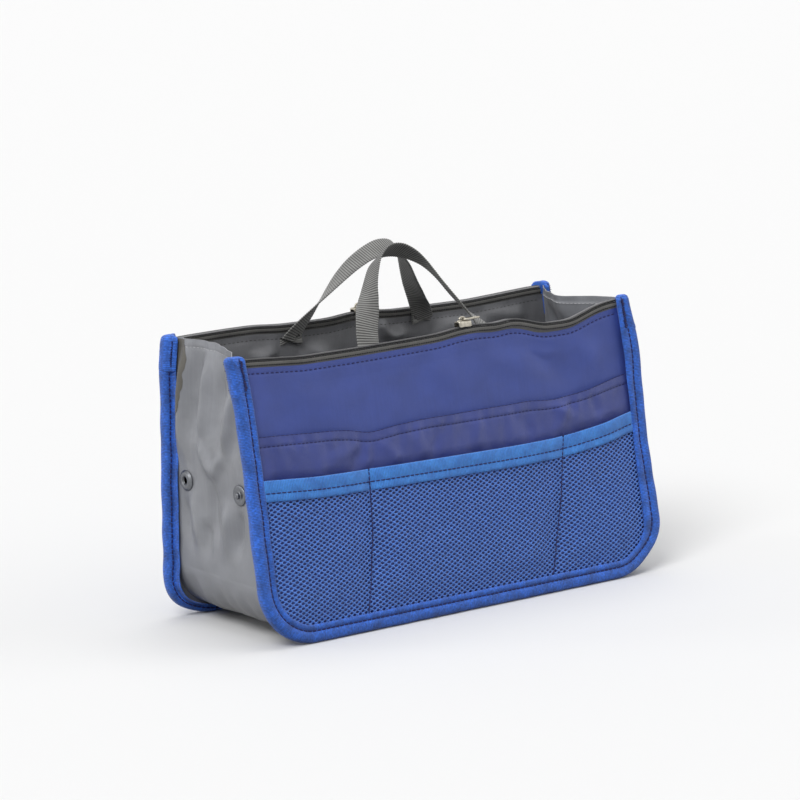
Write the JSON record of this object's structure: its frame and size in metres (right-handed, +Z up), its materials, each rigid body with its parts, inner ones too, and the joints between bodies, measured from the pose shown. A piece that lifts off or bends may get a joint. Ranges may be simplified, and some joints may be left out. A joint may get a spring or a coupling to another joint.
{
  "type": "mesh pocket bag",
  "caption": "Open-topped fabric organiser bag with zipped flat walls, outer slip and mesh pockets, folding gussets and two webbing handles.",
  "frame": {"origin": "centre of the bag's footprint on the table", "axes": "+X along the bag, +Y from the front wall to the rear wall, +Z up"},
  "size_m": [0.29, 0.1078, 0.2152],
  "materials": {
    "nylon_blue": "woven nylon",
    "lining_grey": "woven nylon",
    "mesh_blue": "open knitted mesh",
    "mesh_band_blue": "grosgrain tape",
    "binding_blue": "grosgrain tape",
    "gusset_grey": "woven nylon",
    "webbing_grey": "ribbed webbing",
    "zip_tape_grey": "herringbone tape",
    "zip_coil_grey": "nylon coil",
    "slider_metal": "plated",
    "snap_metal": "gunmetal plated"
  },
  "bodies": {
    "rear_wall": {"rear_outer_panel": "nylon_blue", "rear_lining_panel": "lining_grey", "rear_slip_pocket": "nylon_blue", "rear_mesh_pocket": "mesh_blue", "rear_mesh_band": "mesh_band_blue", "rear_edge_binding": "binding_blue", "rear_zip_tape_outer": "zip_tape_grey", "rear_zip_tape_inner": "zip_tape_grey", "rear_zip_coil_outer": "zip_coil_grey", "rear_zip_coil_inner": "zip_coil_grey", "rear_handle_anchor_left": "webbing_grey", "rear_handle_anchor_right": "webbing_grey", "corner_strip_left": "gusset_grey", "corner_strip_right": "gusset_grey"},
    "front_wall": {"front_outer_panel": "nylon_blue", "front_lining_panel": "lining_grey", "front_slip_pocket": "nylon_blue", "front_mesh_pocket": "mesh_blue", "front_mesh_band": "mesh_band_blue", "front_edge_binding": "binding_blue", "front_zip_tape_outer": "zip_tape_grey", "front_zip_tape_inner": "zip_tape_grey", "front_zip_coil_outer": "zip_coil_grey", "front_zip_coil_inner": "zip_coil_grey", "front_handle_anchor_left": "webbing_grey", "front_handle_anchor_right": "webbing_grey"},
    "rear_zip_slider": {"rear_zip_slider": "slider_metal"},
    "rear_zip_pull": {"rear_zip_pull": "slider_metal"},
    "rear_handle_roots": {"rear_handle_root_left": "webbing_grey", "rear_handle_root_right": "webbing_grey"},
    "rear_handle": {"rear_handle": "webbing_grey"},
    "front_zip_slider": {"front_zip_slider": "slider_metal"},
    "front_zip_pull": {"front_zip_pull": "slider_metal"},
    "front_handle_roots": {"front_handle_root_left": "webbing_grey", "front_handle_root_right": "webbing_grey"},
    "front_handle": {"front_handle": "webbing_grey"},
    "gusset_left_rear": {"gusset_left_rear": "gusset_grey", "snap_socket_left": "snap_metal", "snap_socket_cap_left": "snap_metal"},
    "gusset_left_front": {"gusset_left_front": "gusset_grey", "snap_stud_left": "snap_metal", "snap_stud_cap_left": "snap_metal"},
    "gusset_right_rear": {"gusset_right_rear": "gusset_grey", "snap_socket_right": "snap_metal", "snap_socket_cap_right": "snap_metal"},
    "gusset_right_front": {"gusset_right_front": "gusset_grey", "snap_stud_right": "snap_metal", "snap_stud_cap_right": "snap_metal"},
    "bottom_rear": {"bottom_rear": "gusset_grey"},
    "bottom_front": {"bottom_front": "gusset_grey"}
  },
  "joints": [
    {"name": "gusset_left_rear_seam", "type": "hinge", "parent": "rear_wall", "child": "gusset_left_rear", "pos_m": [-0.1388, 0.04636, 0.08468], "axis": [0, -0.0087, 1], "range_deg": [0, 60]},
    {"name": "gusset_left_crease", "type": "hinge", "parent": "gusset_left_rear", "child": "gusset_left_front", "pos_m": [-0.1388, 0.00705, 0.085], "axis": [0, 0.0785, 0.9969], "range_deg": [-119.82, 0]},
    {"name": "gusset_right_rear_seam", "type": "hinge", "parent": "rear_wall", "child": "gusset_right_rear", "pos_m": [0.1388, 0.04636, 0.08468], "axis": [0, -0.0087, 1], "range_deg": [-60, 0]},
    {"name": "gusset_right_crease", "type": "hinge", "parent": "gusset_right_rear", "child": "gusset_right_front", "pos_m": [0.1388, 0.00705, 0.085], "axis": [0, 0.0785, 0.9969], "range_deg": [0, 119.82]},
    {"name": "fold", "type": "hinge", "parent": "gusset_left_front", "child": "front_wall", "pos_m": [-0.1388, -0.0331, 0.08314], "axis": [0, 0.165, 0.9863], "range_deg": [0, 60], "deforming": ["corner_strip_left", "corner_strip_right"]},
    {"name": "bottom_rear_seam", "type": "hinge", "parent": "rear_wall", "child": "bottom_rear", "pos_m": [0, 0.04705, 0.00588], "axis": [1, 0, 0], "range_deg": [-57.3, 0]},
    {"name": "bottom_crease", "type": "hinge", "parent": "bottom_rear", "child": "bottom_front", "pos_m": [0, 0.00047, 0.00565], "axis": [1, 0, 0], "range_deg": [0, 119.1]},
    {"name": "front_zip", "type": "slide", "parent": "front_wall", "child": "front_zip_slider", "axis": [1, 0, 0], "range_m": [-0.1415, 0.0985]},
    {"name": "front_zip_pull_swing", "type": "hinge", "parent": "front_zip_slider", "child": "front_zip_pull", "pos_m": [0.0215, -0.02166, 0.16609], "axis": [0, -0.9863, 0.165], "range_deg": [0, 180]},
    {"name": "front_handle_stand", "type": "hinge", "parent": "front_wall", "child": "front_handle_roots", "pos_m": [0, -0.0189, 0.16015], "axis": [1, 0, 0], "range_deg": [0, 19.2]},
    {"name": "front_handle_swing", "type": "hinge", "parent": "front_handle_roots", "child": "front_handle", "pos_m": [0, -0.01642, 0.16483], "axis": [1, 0, 0], "range_deg": [0, 90]},
    {"name": "rear_zip", "type": "slide", "parent": "rear_wall", "child": "rear_zip_slider", "axis": [1, 0, 0], "range_m": [-0.117, 0.123]},
    {"name": "rear_zip_pull_swing", "type": "hinge", "parent": "rear_zip_slider", "child": "rear_zip_pull", "pos_m": [-0.003, 0.04803, 0.16839], "axis": [0, -1, -0.0087], "range_deg": [0, 180]},
    {"name": "rear_handle_stand", "type": "hinge", "parent": "rear_wall", "child": "rear_handle_roots", "pos_m": [0, 0.04437, 0.16296], "axis": [-1, 0, 0], "range_deg": [0, 15]},
    {"name": "rear_handle_swing", "type": "hinge", "parent": "rear_handle_roots", "child": "rear_handle", "pos_m": [0, 0.04225, 0.16782], "axis": [-1, 0, 0], "range_deg": [0, 90]}
  ],
  "couplings": [
    {"joint": "gusset_left_rear_seam", "follows": "fold", "ratio": 1},
    {"joint": "gusset_left_crease", "follows": "fold", "ratio": -1.997},
    {"joint": "gusset_right_rear_seam", "follows": "fold", "ratio": -1},
    {"joint": "gusset_right_crease", "follows": "fold", "ratio": 1.997},
    {"joint": "bottom_rear_seam", "follows": "fold", "ratio": -0.955},
    {"joint": "bottom_crease", "follows": "fold", "ratio": 1.985},
    {"joint": "front_handle_stand", "follows": "fold", "ratio": 0.32},
    {"joint": "rear_handle_stand", "follows": "fold", "ratio": 0.25}
  ]
}
